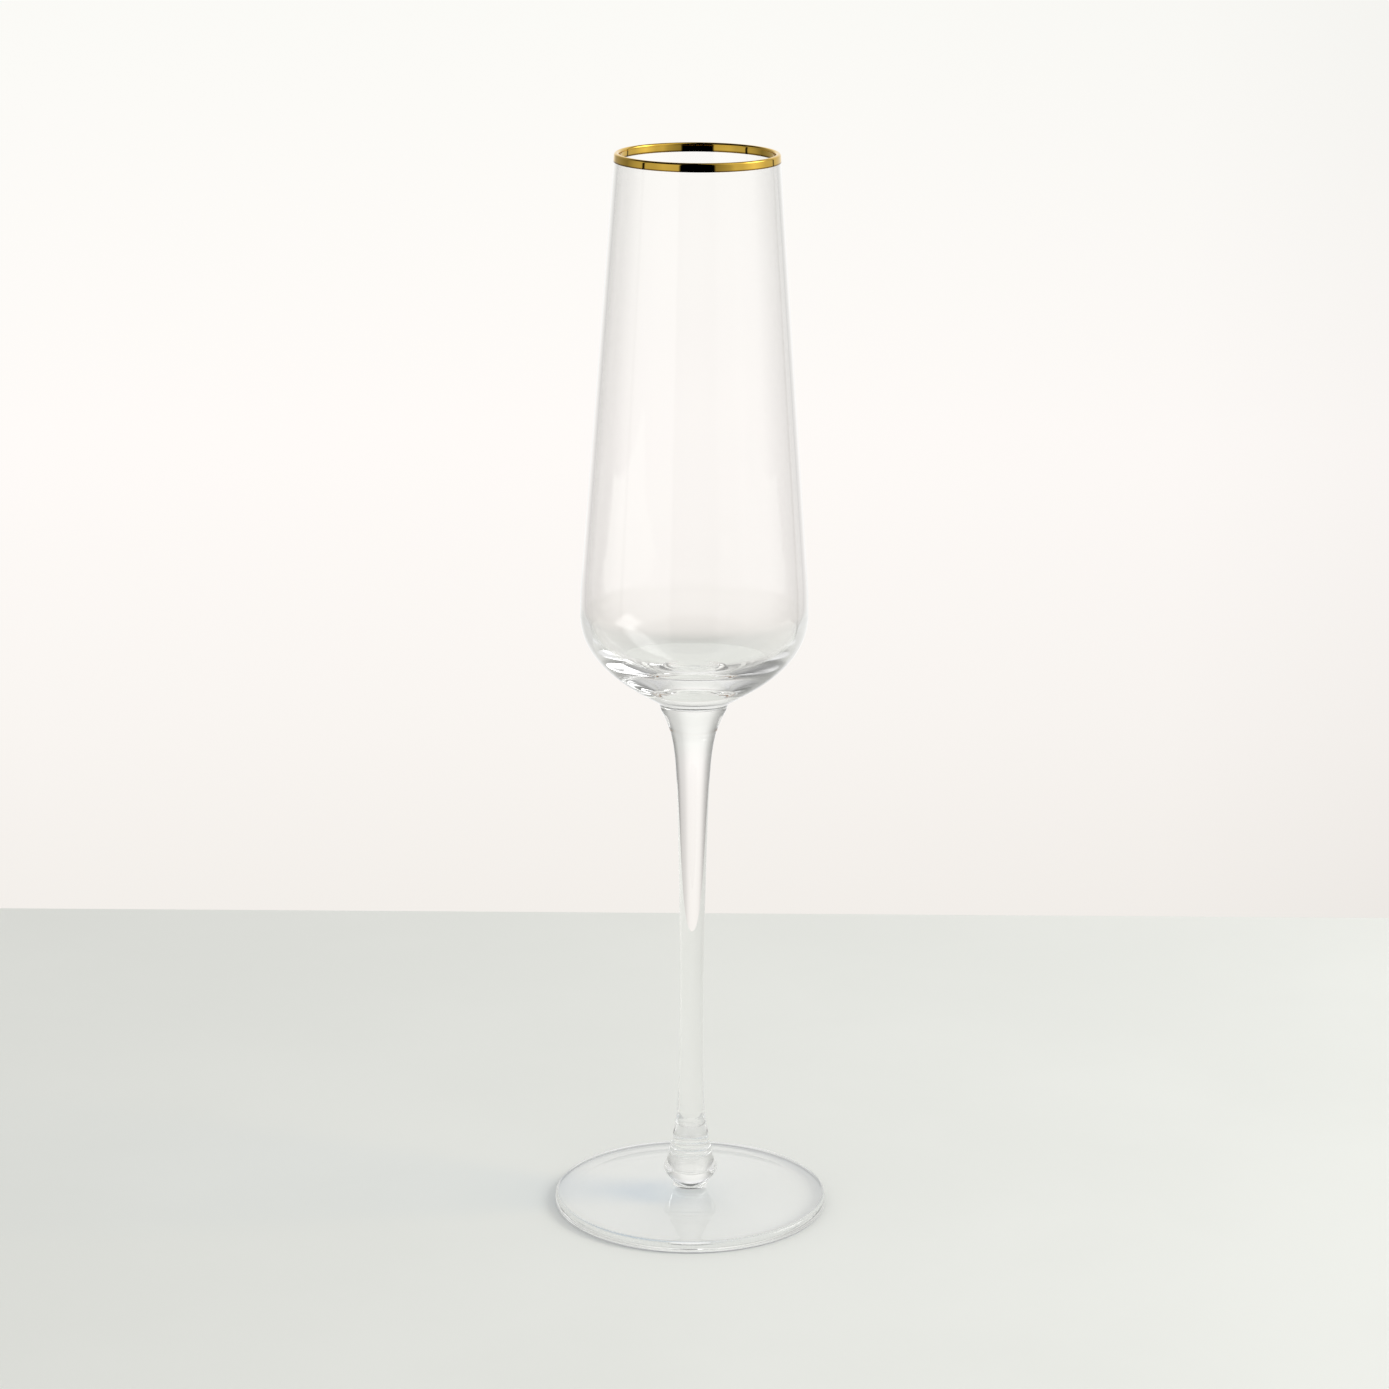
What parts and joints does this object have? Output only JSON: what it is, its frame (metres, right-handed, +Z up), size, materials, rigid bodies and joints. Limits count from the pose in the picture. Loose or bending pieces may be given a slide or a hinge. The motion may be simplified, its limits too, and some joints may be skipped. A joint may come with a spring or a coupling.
{
  "type": "champagne flute",
  "caption": "Tall stemmed sparkling-wine glass: tapered clear bowl with a gilt lip, slim solid stem, knobbed hub and round foot.",
  "frame": {"origin": "centre of the foot, in the plane that the glass stands on", "axes": "+Z up along the axis that the glass is turned about; X and Y are interchangeable"},
  "size_m": [0.0688, 0.0688, 0.267],
  "materials": {
    "clear_glass": "fire-polished, colourless",
    "gilt": "polished bright gold"
  },
  "bodies": {
    "root": {"rim_band": "gilt", "bowl": "clear_glass", "stem": "clear_glass", "hub": "clear_glass", "foot": "clear_glass"}
  },
  "joints": []
}
